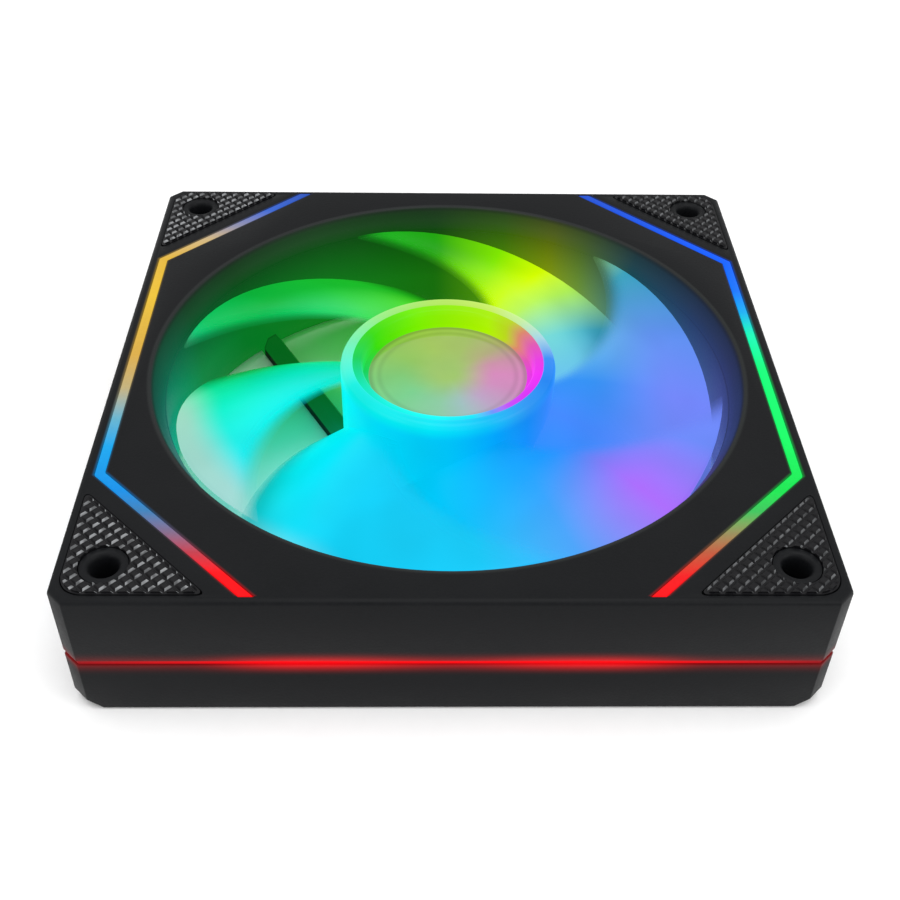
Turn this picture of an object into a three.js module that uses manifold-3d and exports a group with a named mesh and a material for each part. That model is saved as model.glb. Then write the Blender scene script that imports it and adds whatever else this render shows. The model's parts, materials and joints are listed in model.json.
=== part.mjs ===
// A 120 mm computer case fan with a lit impeller, lit edge strips and a mirror hub.
// Millimetres, +Z up. The intake face looks up, and the origin is the centre of the
// rear face, on the plane of the rear pads.
import * as THREE from 'three';
import { mergeVertices } from 'three/addons/utils/BufferGeometryUtils.js';
import Module from 'manifold-3d';

const wasm = await Module();
wasm.setup();

// ---- Driving dimensions ----

const FRAME_SIDE = 120;
const SHELL_DEPTH = 25;
const HOLE_PITCH = 105;
const HOLE_RADIUS = 2.2;
const CORNER_CHAMFER = 2.5;
const REAR_BEVEL_ANGLE = 50;
const REAR_BEVEL_DEPTH = 1.6;
const WALL = 1.6;
const PLATE = 2.4;
const GAP = 0.3;

// Rubber pads stand proud of both faces by PAD_PROUD.
const PAD_PROUD = 0.4;
const PAD_SINK = 0.8;
const PAD_EDGE = 58.4;
const PAD_REACH = 36.5;
const PAD_CORNER_CUT = 2.2;
const PAD_ROUNDING = 1.6;
const COLLAR_RADIUS = 3.7;
const COLLAR_DISH = 3.2;

// The duct the impeller turns in, and the funnel that leads into it.
const DUCT_RADIUS = 51.5;
const DUCT_WALL = 1.6;
const OPENING_RADIUS = 53.3;
const OUTLET_RADIUS = 52.9;
const DUCT_TOP = 20.7;

// The seam between the two half shells, filled by the side light band.
const SEAM_LOW = 10.9;
const SEAM_HIGH = 11.9;
const BAND_RECESS = 0.4;
const BAND_DEPTH = 2.6;

// Inlaid light strips: a long run beside each edge and two 45 degree ends.
const STRIP_WIDTH = 1.5;
const STRIP_X = 57.2;
const STRIP_RUN = 32;
const STRIP_END = 58.7;
const STRIP_DEPTH = 3.9;

// Hub and blades.
const HUB_RADIUS = 19.8;
const HUB_TOP = 25.0;
const RIM_INNER = 17.6;
const LIGHT_RING_INNER = 14.9;
const BLADE_COUNT = 6;
const BLADE_TIP = 50.3;
const BLADE_ROOT = 18.9;
const BLADE_TOP = 21.8;
const BLADE_ROOT_TOP = 19.4;
const BLADE_LOW = 6.0;
const BLADE_THICKNESS = 1.7;
const BLADE_EDGE = 0.7;
const BLADE_CAMBER = 0.6;
const BLADE_FALL_POWER = 1.5;
const TIP_CHORD = 72;
const ROOT_CHORD = 66;
const TIP_LEAD_ANGLE = 172;
const FORWARD_SWEEP = 50;
const SWEEP_POWER = 1.05;

// Motor base and struts.
const BASE_RADIUS = 20.6;
const BASE_FLOOR = 2.6;
const BASE_RIM_TOP = 4.4;
const STRUT_COUNT = 4;
const STRUT_WIDTH = 4.4;
const STRUT_HEIGHT = 3.8;
const STRUT_DIRECTION = 119.5;
const STRUT_OFFSET = 15.2;
const STRUT_START = 6;
const CABLE_STRUT = 1;
const CABLE_STRUT_WIDTH = 13.6;
const CABLE_STRUT_OFFSET = 10.7;
const WIRE_GROOVE_WIDTH = 8;
const WIRE_GROOVE_DEPTH = 1.6;

// Motor.
const SHAFT_RADIUS = 1.5;
const SLEEVE_RADIUS = 3.3;
const TUBE_RADIUS = 4.6;
const TUBE_TOP = 15.0;
const POLE_COUNT = 4;
const POLE_RADIUS = 12.5;
const YOKE_RADIUS = 16.3;
const YOKE_LOW = 5.5;
const YOKE_TOP = 17.0;

const REAR_Z = PAD_PROUD;
const FRONT_Z = REAR_Z + SHELL_DEPTH;
const HALF_SIDE = FRAME_SIDE / 2;
const HOLE_OFFSET = HOLE_PITCH / 2;
const CLEAR = 5;
const CORNERS = [[1, 1], [-1, 1], [-1, -1], [1, -1]];
const CORNER_NAMES = ['back_right', 'back_left', 'front_left', 'front_right'];

const DUCT_SEGMENTS = 52;
const HUB_SEGMENTS = 36;
const SHOE_SEGMENTS = 24;
const SMALL_SEGMENTS = 16;

// ---- Materials ----

const black = () => new THREE.MeshStandardMaterial({ color: 0x24252a, roughness: 0.55, metalness: 0.0 });
const rubber = () => new THREE.MeshStandardMaterial({ color: 0x1b1c1f, roughness: 0.85, metalness: 0.0 });
const milky = () => new THREE.MeshStandardMaterial({ color: 0xd9f0f5, roughness: 0.35, metalness: 0.0 });
const lens = (color) => new THREE.MeshStandardMaterial({ color, roughness: 0.3, metalness: 0.0 });
const steel = () => new THREE.MeshStandardMaterial({ color: 0xb9bcc0, roughness: 0.3, metalness: 1.0 });
const darkSteel = () => new THREE.MeshStandardMaterial({ color: 0x6d7074, roughness: 0.45, metalness: 1.0 });
const mirror = () => new THREE.MeshStandardMaterial({ color: 0xe8ecee, roughness: 0.05, metalness: 1.0 });
const brass = () => new THREE.MeshStandardMaterial({ color: 0xb8923f, roughness: 0.35, metalness: 1.0 });
const copper = () => new THREE.MeshStandardMaterial({ color: 0xb4602f, roughness: 0.4, metalness: 0.9 });
const board = () => new THREE.MeshStandardMaterial({ color: 0x12402a, roughness: 0.6, metalness: 0.0 });
const ferrite = () => new THREE.MeshStandardMaterial({ color: 0x3a3634, roughness: 0.7, metalness: 0.2 });
const nylon = () => new THREE.MeshStandardMaterial({ color: 0xe6e2d6, roughness: 0.5, metalness: 0.0 });
const paper = () => new THREE.MeshStandardMaterial({ color: 0x8f9398, roughness: 0.5, metalness: 0.1 });

// ---- Helpers ----

const radians = (degrees) => (degrees * Math.PI) / 180;

// Signed volume of an indexed mesh; negative when its faces point in.
function signedVolume(positions, index) {
  const a = new THREE.Vector3();
  const b = new THREE.Vector3();
  const c = new THREE.Vector3();
  let total = 0;
  for (let i = 0; i < index.length; i += 3) {
    a.fromArray(positions, index[i] * 3);
    b.fromArray(positions, index[i + 1] * 3);
    c.fromArray(positions, index[i + 2] * 3);
    total += a.dot(b.cross(c)) / 6;
  }
  return total;
}

// Turns a three.js geometry into a manifold solid with its faces pointing out.
function solidFrom(geometry) {
  const bare = geometry.clone();
  bare.deleteAttribute('normal');
  bare.deleteAttribute('uv');
  const merged = mergeVertices(bare, 1e-4);
  const positions = merged.attributes.position.array;
  const index = [];
  for (let i = 0; i < merged.index.count; i += 3) {
    const a = merged.index.getX(i);
    const b = merged.index.getX(i + 1);
    const c = merged.index.getX(i + 2);
    if (a !== b && b !== c && c !== a) {
      index.push(a, b, c);
    }
  }
  if (signedVolume(positions, index) < 0) {
    index.reverse();
  }
  const mesh = new wasm.Mesh({
    numProp: 3,
    vertProperties: Float32Array.from(positions),
    triVerts: Uint32Array.from(index),
  });
  return new wasm.Manifold(mesh);
}

// Turns a manifold solid back into a three.js geometry.
function geometryFrom(solid) {
  const mesh = solid.getMesh();
  const geometry = new THREE.BufferGeometry();
  geometry.setAttribute('position', new THREE.BufferAttribute(mesh.vertProperties, 3));
  geometry.setIndex(new THREE.BufferAttribute(mesh.triVerts, 1));
  geometry.computeVertexNormals();
  return geometry;
}

// Revolves an outline of [radius, z] points about the Z axis. An outline that starts
// and ends on the axis stays open there; any other outline closes on itself.
function turned(outline, segments) {
  const points = outline.map(([radius, z]) => new THREE.Vector2(radius, z));
  const onAxis = outline[0][0] === 0 && outline[outline.length - 1][0] === 0;
  if (!onAxis) {
    points.push(points[0].clone());
  }
  return solidFrom(new THREE.LatheGeometry(points, segments).rotateX(Math.PI / 2));
}

function ring(inner, outer, low, high, segments) {
  return turned([[inner, low], [outer, low], [outer, high], [inner, high]], segments);
}

function disc(radius, low, high, segments) {
  return turned([[0, low], [radius, low], [radius, high], [0, high]], segments);
}

function post(radius, x, y, low, high) {
  const geometry = new THREE.CylinderGeometry(radius, radius, high - low, SMALL_SEGMENTS);
  geometry.rotateX(Math.PI / 2);
  geometry.translate(x, y, (low + high) / 2);
  return solidFrom(geometry);
}

function block(sizeX, sizeY, low, high, x, y, turn = 0) {
  const geometry = new THREE.BoxGeometry(sizeX, sizeY, high - low);
  geometry.translate(x, y, (low + high) / 2);
  geometry.rotateZ(turn);
  return solidFrom(geometry);
}

// Extrudes a closed outline of [x, y] points between two heights.
function slab(outline, low, high) {
  const shape = new THREE.Shape(outline.map(([x, y]) => new THREE.Vector2(x, y)));
  const geometry = new THREE.ExtrudeGeometry(shape, { depth: high - low, bevelEnabled: false });
  geometry.translate(0, 0, low);
  return solidFrom(geometry);
}

// Outline of the frame moved in by `inset`: a square with its four corners cut at 45 degrees.
function frameOutline(inset, chamfer = CORNER_CHAMFER) {
  const half = HALF_SIDE - inset;
  const cut = chamfer - inset * (2 - Math.SQRT2);
  return [
    [half - cut, -half], [half, -half + cut], [half, half - cut], [half - cut, half],
    [-half + cut, half], [-half, half - cut], [-half, -half + cut], [-half + cut, -half],
  ];
}

// Rounds every corner of an outline with a short curve.
function rounded(outline, radius, steps) {
  const result = [];
  outline.forEach((corner, i) => {
    const here = new THREE.Vector2(...corner);
    const before = new THREE.Vector2(...outline[(i + outline.length - 1) % outline.length]);
    const after = new THREE.Vector2(...outline[(i + 1) % outline.length]);
    const reachIn = Math.min(radius, here.distanceTo(before) / 2.2);
    const reachOut = Math.min(radius, here.distanceTo(after) / 2.2);
    const start = here.clone().add(before.sub(here).setLength(reachIn));
    const end = here.clone().add(after.sub(here).setLength(reachOut));
    const curve = new THREE.QuadraticBezierCurve(start, here, end);
    curve.getPoints(steps).forEach((point) => result.push([point.x, point.y]));
  });
  return result;
}

function union(solids) {
  return solids.reduce((whole, solid) => whole.add(solid));
}

// ---- Corner pads, their pockets and the screw holes ----

function padOutline(grow, signX, signY) {
  const edge = PAD_EDGE + grow;
  const reach = PAD_REACH - grow * (1 + Math.SQRT2);
  const corners = [
    [edge, reach], [edge, edge - PAD_CORNER_CUT], [edge - PAD_CORNER_CUT, edge], [reach, edge],
  ];
  const outline = rounded(corners, PAD_ROUNDING, 3);
  return outline.map(([x, y]) => [signX * x, signY * y]);
}

function cornerPad([signX, signY], low, high) {
  const pad = slab(padOutline(0, signX, signY), low, high);
  const x = signX * HOLE_OFFSET;
  const y = signY * HOLE_OFFSET;
  return pad.subtract(post(COLLAR_RADIUS + GAP, x, y, low - 1, high + 1));
}

// The pocket a pad lies in: the pad's outline grown by the gap, less the collar in its middle.
function padPocket([signX, signY], low, high) {
  const pocket = slab(padOutline(GAP, signX, signY), low, high);
  const x = signX * HOLE_OFFSET;
  const y = signY * HOLE_OFFSET;
  return pocket.subtract(post(COLLAR_RADIUS, x, y, low - 1, high + 1));
}

// A screw hole through the whole corner, with a shallow dish at one face.
function screwHole([signX, signY], faceZ, inward) {
  const deep = faceZ + inward;
  const past = faceZ - inward * 0.5;
  const dishOutline = [[0, deep], [HOLE_RADIUS, deep], [COLLAR_DISH, faceZ], [COLLAR_DISH, past], [0, past]];
  const dish = turned(dishOutline, SMALL_SEGMENTS);
  const x = signX * HOLE_OFFSET;
  const y = signY * HOLE_OFFSET;
  return post(HOLE_RADIUS, x, y, -CLEAR, FRONT_Z + CLEAR).add(dish.translate([x, y, 0]));
}

// ---- Rear frame ----

// A straight bar past the motor base, its middle line `offset` from the axis. It is
// thinner along its upper edge.
function strut(index, width, offset) {
  const slope = STRUT_HEIGHT * 0.5;
  const profile = new THREE.Shape();
  profile.moveTo(-width / 2, 0);
  profile.lineTo(width / 2, 0);
  profile.lineTo(width / 2, STRUT_HEIGHT * 0.5);
  profile.lineTo(width / 2 - slope * 0.6, STRUT_HEIGHT);
  profile.lineTo(-width / 2 + slope * 0.6, STRUT_HEIGHT);
  profile.lineTo(-width / 2, STRUT_HEIGHT * 0.5);
  const length = OUTLET_RADIUS + CLEAR - STRUT_START;
  const bar = new THREE.ExtrudeGeometry(profile, { depth: length, bevelEnabled: false });
  bar.translate(0, 0, -STRUT_START - length);
  bar.rotateX(Math.PI / 2);
  bar.translate(-offset, 0, REAR_Z);
  bar.rotateZ(radians(STRUT_DIRECTION - 90 + (360 / STRUT_COUNT) * index));
  return solidFrom(bar);
}

// The channel in the back of the wide strut, which the wires lie in.
function wireGroove() {
  const length = OUTLET_RADIUS - BASE_RADIUS;
  const middle = BASE_RADIUS + length / 2 - 1;
  const turn = radians(STRUT_DIRECTION - 90 + (360 / STRUT_COUNT) * CABLE_STRUT);
  const top = REAR_Z + WIRE_GROOVE_DEPTH;
  return block(WIRE_GROOVE_WIDTH, length, REAR_Z - 1, top, -CABLE_STRUT_OFFSET, middle, turn);
}

function struts() {
  const solids = [];
  for (let i = 0; i < STRUT_COUNT; i += 1) {
    const wide = i === CABLE_STRUT;
    const width = wide ? CABLE_STRUT_WIDTH : STRUT_WIDTH;
    solids.push(strut(i, width, wide ? CABLE_STRUT_OFFSET : STRUT_OFFSET));
  }
  const reach = disc(OUTLET_RADIUS + 0.1, REAR_Z - 1, STRUT_HEIGHT + CLEAR, DUCT_SEGMENTS);
  return union(solids).intersect(reach).subtract(wireGroove());
}

function motorBase() {
  const floor = disc(BASE_RADIUS, REAR_Z, BASE_FLOOR, HUB_SEGMENTS);
  const rim = ring(BASE_RADIUS - 1.2, BASE_RADIUS, REAR_Z, BASE_RIM_TOP, HUB_SEGMENTS);
  return floor.add(rim);
}

function ductRing() {
  const outer = DUCT_RADIUS + DUCT_WALL;
  const ledge = outer + 1.5;
  return turned([
    [OUTLET_RADIUS, REAR_Z], [DUCT_RADIUS, 4.6], [DUCT_RADIUS, DUCT_TOP], [outer, DUCT_TOP],
    [outer, SEAM_HIGH + 0.3], [ledge, SEAM_HIGH + 0.3], [ledge, SEAM_HIGH - 0.9], [outer, SEAM_LOW - 1],
    [outer, REAR_Z + PLATE + 1], [outer + 1.2, REAR_Z + PLATE], [outer + 1.2, REAR_Z],
  ], DUCT_SEGMENTS);
}

// Bevel that takes the lower end off each vertical corner.
function rearCornerBevel([signX, signY]) {
  const size = 12;
  const reach = HALF_SIDE * Math.SQRT2 - CORNER_CHAMFER / Math.SQRT2;
  const cutter = new THREE.BoxGeometry(size, size * 2, size);
  cutter.translate(size / 2, 0, -size / 2);
  cutter.rotateY(radians(-REAR_BEVEL_ANGLE));
  cutter.translate(reach - REAR_BEVEL_DEPTH, 0, REAR_Z);
  cutter.rotateZ(Math.atan2(signY, signX));
  return solidFrom(cutter);
}

const GLAND_ALONG = -38;
const GLAND_TURN = 90;
const GLAND_WIDTH = 6.4;
const GLAND_LOW = 4.2;
const GLAND_HIGH = 8.2;

function glandWindow() {
  const width = GLAND_WIDTH + 2 * GAP;
  const [low, high] = [GLAND_LOW - GAP, GLAND_HIGH + GAP];
  return block(width, 8, low, high, GLAND_ALONG, HALF_SIDE, radians(GLAND_TURN));
}

function rearFrame() {
  const shell = slab(frameOutline(0), REAR_Z, SEAM_LOW);
  const inside = slab(frameOutline(WALL), REAR_Z + PLATE, SEAM_LOW + CLEAR);
  const bore = disc(DUCT_RADIUS + DUCT_WALL, -CLEAR, SEAM_LOW + CLEAR, DUCT_SEGMENTS);
  const posts = CORNERS.map(([x, y]) => post(4.2, x * HOLE_OFFSET, y * HOLE_OFFSET, REAR_Z + 1, 16));
  const solids = [shell.subtract(inside).subtract(bore), ductRing(), ...posts];
  const holes = CORNERS.map((corner) => screwHole(corner, REAR_Z, 1));
  const pockets = CORNERS.map((corner) => padPocket(corner, -1, REAR_Z + PAD_SINK + GAP));
  const bevels = CORNERS.map(rearCornerBevel);
  const cuts = union([...holes, ...pockets, ...bevels, glandWindow()]);
  const labelRecess = disc(18.3, REAR_Z - 1, REAR_Z + 0.5, HUB_SEGMENTS);
  const well = disc(BASE_RADIUS - 1.2, BASE_FLOOR, BASE_RIM_TOP + 1, HUB_SEGMENTS);
  const middle = motorBase().add(struts().subtract(well)).subtract(labelRecess);
  return union(solids).subtract(cuts).add(middle);
}

// A plain grommet in the side of the rear frame, where the lead leaves.
function cableGland() {
  const half = GLAND_WIDTH / 2;
  const corners = [[-half, GLAND_LOW], [half, GLAND_LOW], [half, GLAND_HIGH], [-half, GLAND_HIGH]];
  const outline = rounded(corners, 0.8, 2);
  const shape = new THREE.Shape(outline.map(([x, z]) => new THREE.Vector2(x, z)));
  const bore = new THREE.Path();
  bore.absarc(0, (GLAND_LOW + GLAND_HIGH) / 2, 1.3, 0, 2 * Math.PI, true);
  shape.holes.push(bore);
  const depth = 3;
  const geometry = new THREE.ExtrudeGeometry(shape, { depth, bevelEnabled: false, curveSegments: 8 });
  geometry.rotateX(Math.PI / 2);
  geometry.translate(GLAND_ALONG, HALF_SIDE - 0.2, 0);
  geometry.rotateZ(radians(GLAND_TURN));
  return solidFrom(geometry);
}

// ---- Front cover and its lights ----

function stripOutline(side, halfWidth, endGrow) {
  const end = STRIP_END + endGrow;
  const corner = (s) => [side * (STRIP_X + s * halfWidth), STRIP_RUN + s * halfWidth * (Math.SQRT2 - 1)];
  const tip = (s) => [side * (STRIP_X + STRIP_RUN - end + s * halfWidth * Math.SQRT2), end];
  const below = ([x, y]) => [x, -y];
  return [
    tip(-1), corner(-1), below(corner(-1)), below(tip(-1)),
    below(tip(1)), below(corner(1)), corner(1), tip(1),
  ];
}

function lightStrip(side) {
  return slab(stripOutline(side, STRIP_WIDTH / 2, 0), FRONT_Z - STRIP_DEPTH, FRONT_Z);
}

function stripSlot(side) {
  return slab(stripOutline(side, STRIP_WIDTH / 2 + GAP, GAP), FRONT_Z - STRIP_DEPTH - GAP, FRONT_Z + 1);
}

function funnelLip() {
  const throat = DUCT_RADIUS + 0.2;
  return turned([
    [OPENING_RADIUS + 0.4, FRONT_Z], [OPENING_RADIUS, FRONT_Z - 0.4], [OPENING_RADIUS - 0.7, FRONT_Z - 2],
    [throat, DUCT_TOP + GAP], [DUCT_RADIUS + DUCT_WALL, DUCT_TOP + GAP],
    [OPENING_RADIUS + 1.3, FRONT_Z - PLATE], [OPENING_RADIUS + 2.2, FRONT_Z - PLATE],
    [OPENING_RADIUS + 2.2, FRONT_Z],
  ], DUCT_SEGMENTS);
}

// The outside of the front cover: a chamfered square with a small bevel round the top edge.
function coverBlank() {
  const bevel = 0.5;
  const body = slab(frameOutline(0), SEAM_HIGH, FRONT_Z - bevel);
  const shape = new THREE.Shape(frameOutline(bevel).map(([x, y]) => new THREE.Vector2(x, y)));
  const options = { depth: 0.5, bevelThickness: bevel, bevelSize: bevel, bevelSegments: 1 };
  const top = new THREE.ExtrudeGeometry(shape, options);
  top.translate(0, 0, FRONT_Z - bevel - options.depth);
  return body.add(solidFrom(top));
}

function frontCover() {
  const inside = slab(frameOutline(WALL), SEAM_HIGH - CLEAR, FRONT_Z - PLATE);
  const opening = disc(OPENING_RADIUS + 1.3, SEAM_HIGH - CLEAR, FRONT_Z + CLEAR, DUCT_SEGMENTS);
  const bosses = CORNERS.map(([x, y]) => post(4.2, x * HOLE_OFFSET, y * HOLE_OFFSET, 16.3, FRONT_Z - 1.5));
  const holes = CORNERS.map((corner) => screwHole(corner, FRONT_Z, -1));
  const pockets = CORNERS.map((corner) => padPocket(corner, FRONT_Z - PAD_SINK - GAP, FRONT_Z + 1));
  const cuts = union([...holes, ...pockets, stripSlot(1), stripSlot(-1)]);
  const shell = coverBlank().subtract(inside).subtract(opening);
  return union([shell, funnelLip(), ...bosses]).subtract(cuts);
}

function sideLightBand() {
  const low = SEAM_LOW + 0.2;
  const high = SEAM_HIGH - 0.2;
  const outer = slab(frameOutline(BAND_RECESS), low, high);
  return outer.subtract(slab(frameOutline(BAND_RECESS + BAND_DEPTH), low - 1, high + 1));
}

// The ring board beside the duct, with its light packages on top.
function lightBoard() {
  const low = 12.5;
  const high = 13.5;
  const outer = slab(frameOutline(3.6, 28), low, high);
  const inner = disc(DUCT_RADIUS + DUCT_WALL + GAP, low - 1, high + 1, DUCT_SEGMENTS);
  const packages = [];
  for (let i = 0; i < 16; i += 1) {
    packages.push(block(2, 2, high - 0.2, high + 0.8, 55, 0, radians(22.5 * i)));
  }
  return union([outer.subtract(inner), ...packages]);
}

// ---- Impeller ----

// Bends a flat box into one blade: its X runs hub to tip, its Y leading to trailing edge.
function blade(turn) {
  const geometry = new THREE.BoxGeometry(1, 1, 1, 7, 9, 1);
  const position = geometry.attributes.position;
  const span = BLADE_TIP - BLADE_ROOT;
  for (let i = 0; i < position.count; i += 1) {
    const outward = position.getX(i) + 0.5;
    const back = position.getY(i) + 0.5;
    const side = position.getZ(i) * 2;
    const radius = BLADE_ROOT + outward * span;
    const lag = FORWARD_SWEEP * ((1 - outward) ** SWEEP_POWER);
    const chord = ROOT_CHORD + (TIP_CHORD - ROOT_CHORD) * outward;
    const bulge = 4 * back * (1 - back);
    const half = (BLADE_EDGE + (BLADE_THICKNESS - BLADE_EDGE) * bulge) / 2;
    const rise = BLADE_ROOT_TOP + (BLADE_TOP - BLADE_ROOT_TOP) * outward - BLADE_LOW;
    const slope = Math.atan2(rise, radius * radians(chord));
    const angle = turn + radians(TIP_LEAD_ANGLE - lag - chord * back);
    const shift = (-side * half * Math.sin(slope)) / radius;
    const fall = back ** BLADE_FALL_POWER;
    const z = BLADE_LOW + rise * (1 - fall) + BLADE_CAMBER * bulge;
    position.setXYZ(
      i,
      radius * Math.cos(angle + shift),
      radius * Math.sin(angle + shift),
      z + side * half * Math.cos(slope),
    );
  }
  return solidFrom(geometry);
}

function hubShell() {
  const plateLow = YOKE_TOP + GAP;
  const plateHigh = plateLow + 1.4;
  const wallInner = HUB_RADIUS - 1.4;
  return turned([
    [0, plateLow], [wallInner, plateLow], [wallInner, 4.9], [HUB_RADIUS, 4.9],
    [HUB_RADIUS, HUB_TOP - 1.4], [HUB_RADIUS - 0.2, HUB_TOP - 0.6], [HUB_RADIUS - 0.7, HUB_TOP - 0.1],
    [HUB_RADIUS - 1.1, HUB_TOP], [RIM_INNER, HUB_TOP], [RIM_INNER, plateHigh], [0, plateHigh],
  ], HUB_SEGMENTS);
}

// Ribs inside the hub wall that grip the steel yoke.
function hubRibs() {
  const solids = [];
  for (let i = 0; i < BLADE_COUNT; i += 1) {
    const inner = YOKE_RADIUS + GAP;
    const outer = HUB_RADIUS - 1;
    const middle = (inner + outer) / 2;
    solids.push(block(outer - inner, 1, 6.4, YOKE_TOP + 0.6, middle, 0, radians((360 / BLADE_COUNT) * i)));
  }
  return union(solids);
}

function impeller() {
  const blades = [];
  for (let i = 0; i < BLADE_COUNT; i += 1) {
    blades.push(blade(radians((360 / BLADE_COUNT) * i)));
  }
  return union([hubShell(), hubRibs(), ...blades]);
}

function hubLightRing() {
  const outer = RIM_INNER - GAP;
  const low = 19.9;
  return turned([
    [LIGHT_RING_INNER - 1, low], [outer, low], [outer, HUB_TOP - 0.4],
    [LIGHT_RING_INNER, HUB_TOP - 0.4], [LIGHT_RING_INNER, low + 0.5], [LIGHT_RING_INNER - 1, low + 0.5],
  ], HUB_SEGMENTS);
}

// ---- Motor ----

function rotorYoke() {
  const inner = YOKE_RADIUS - 1;
  const bore = SHAFT_RADIUS + GAP;
  return turned([
    [bore, YOKE_TOP - 1], [inner, YOKE_TOP - 1], [inner, YOKE_LOW],
    [YOKE_RADIUS, YOKE_LOW], [YOKE_RADIUS, YOKE_TOP], [bore, YOKE_TOP],
  ], HUB_SEGMENTS);
}

// A ring around the bearing tube with one T-shaped pole for each coil.
function poleStar(boreRadius, shoeInner, armWidth, low, high) {
  const parts = [ring(boreRadius, boreRadius + 2, low, high, SMALL_SEGMENTS)];
  const shoe = ring(shoeInner, POLE_RADIUS, low, high, SHOE_SEGMENTS);
  for (let i = 0; i < POLE_COUNT; i += 1) {
    const turn = radians((360 / POLE_COUNT) * i);
    const armLength = shoeInner - boreRadius;
    parts.push(block(armLength, armWidth, low, high, boreRadius + 1 + armLength / 2, 0, turn));
    parts.push(shoe.intersect(block(POLE_RADIUS * 2, 13, low - 1, high + 1, POLE_RADIUS + 1, 0, turn)));
  }
  return union(parts);
}

function coil(index) {
  const turn = radians((360 / POLE_COUNT) * index);
  const middle = 8.7;
  const whole = block(3.1, 7.2, 4.5, 14.5, middle, 0, turn);
  return whole.subtract(block(4, 3.6, 5.6, 13.4, middle, 0, turn));
}

function motorBoard() {
  const low = BASE_FLOOR + GAP;
  const plate = ring(TUBE_RADIUS + GAP, BASE_RADIUS - 1.5, low, low + 1, HUB_SEGMENTS);
  const packages = [];
  for (let i = 0; i < 8; i += 1) {
    packages.push(block(1.3, 3, low + 0.8, low + 1.8, 17.4, 0, radians(45 * i + 22.5)));
  }
  return union([plate, ...packages]);
}

// ---- Assembly ----

const fan = new THREE.Group();

function place(name, solid, material) {
  const mesh = new THREE.Mesh(geometryFrom(solid), material);
  mesh.name = name;
  fan.add(mesh);
}

place('rear_frame', rearFrame(), black());
place('front_cover', frontCover(), black());
place('side_light_band', sideLightBand(), lens(0xff2a2a));
place('left_light_strip', lightStrip(-1), lens(0xf2c14e));
place('right_light_strip', lightStrip(1), lens(0x37c8a0));
place('light_board', lightBoard(), board());
place('cable_gland', cableGland(), rubber());

CORNERS.forEach((corner, i) => {
  const frontPad = cornerPad(corner, FRONT_Z - PAD_SINK, FRONT_Z + PAD_PROUD);
  place(`front_pad_${CORNER_NAMES[i]}`, frontPad, rubber());
  const rearPad = cornerPad(corner, 0, REAR_Z + PAD_SINK);
  place(`rear_pad_${CORNER_NAMES[i]}`, rearPad, rubber());
});

place('rear_label', disc(18, REAR_Z, REAR_Z + 0.2, HUB_SEGMENTS), paper());
place('motor_board', motorBoard(), board());
place('bearing_tube', ring(SLEEVE_RADIUS + GAP, TUBE_RADIUS, BASE_FLOOR + GAP, TUBE_TOP, SMALL_SEGMENTS), brass());
place('thrust_pad', disc(SLEEVE_RADIUS - 0.1, BASE_FLOOR + GAP, 3.6, SMALL_SEGMENTS), nylon());
place('bearing_sleeve', ring(SHAFT_RADIUS + GAP, SLEEVE_RADIUS, 5.2, TUBE_TOP - GAP, SMALL_SEGMENTS), brass());
place('stator_core', poleStar(TUBE_RADIUS + GAP, 11, 3, 7, 12), darkSteel());
place('lower_insulator', poleStar(TUBE_RADIUS + GAP, 11, 3, 5.9, 6.7), nylon());
place('upper_insulator', poleStar(TUBE_RADIUS + GAP, 11, 3, 12.3, 13.1), nylon());
for (let i = 0; i < POLE_COUNT; i += 1) {
  place(`coil_${i + 1}`, coil(i), copper());
}

place('impeller', impeller(), milky());
place('hub_light_ring', hubLightRing(), lens(0x8fe36a));
place('half_mirror', disc(LIGHT_RING_INNER - GAP, 20.7, 21.3, HUB_SEGMENTS), mirror());
place('back_mirror', disc(RIM_INNER - 0.4, 19.0, 19.6, HUB_SEGMENTS), mirror());
place('rotor_yoke', rotorYoke(), darkSteel());
place('magnet_ring', ring(POLE_RADIUS + 0.7, YOKE_RADIUS - 1.3, 5.9, 14.6, HUB_SEGMENTS), ferrite());
place('shaft', disc(SHAFT_RADIUS, 3.9, YOKE_TOP - 0.1, SMALL_SEGMENTS), steel());
place('shaft_clip', ring(SHAFT_RADIUS + GAP, 2.8, 4.3, 4.8, SMALL_SEGMENTS), steel());

export default fan;
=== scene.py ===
"""The looks of a lit 120 mm case fan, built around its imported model.

Shapes are modelled in millimetres, in the frame's own axes, and scaled to metres
when each piece is finished.
"""

import json
import math

import bmesh
import bpy
from mathutils import Matrix, Vector


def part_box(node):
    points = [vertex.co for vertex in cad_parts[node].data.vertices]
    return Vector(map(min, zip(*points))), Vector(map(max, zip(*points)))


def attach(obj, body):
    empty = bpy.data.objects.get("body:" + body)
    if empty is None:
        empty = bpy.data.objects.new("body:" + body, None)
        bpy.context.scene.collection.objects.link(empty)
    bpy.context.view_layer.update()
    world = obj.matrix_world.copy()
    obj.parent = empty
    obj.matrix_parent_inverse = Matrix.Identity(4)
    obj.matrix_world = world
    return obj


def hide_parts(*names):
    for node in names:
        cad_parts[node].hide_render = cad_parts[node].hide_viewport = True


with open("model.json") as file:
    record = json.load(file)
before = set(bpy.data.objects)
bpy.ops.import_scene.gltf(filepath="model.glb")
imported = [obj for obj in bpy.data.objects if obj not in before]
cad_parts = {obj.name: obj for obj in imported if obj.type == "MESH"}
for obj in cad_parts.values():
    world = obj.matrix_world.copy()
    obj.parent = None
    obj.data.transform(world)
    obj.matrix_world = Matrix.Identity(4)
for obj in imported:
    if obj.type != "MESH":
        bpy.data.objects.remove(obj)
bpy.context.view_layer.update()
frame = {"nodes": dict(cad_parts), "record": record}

MM = 0.001


def heights(node):
    """Lowest and highest point of a CAD node, in millimetres."""
    low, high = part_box(node)
    return low.z / MM, high.z / MM


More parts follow.
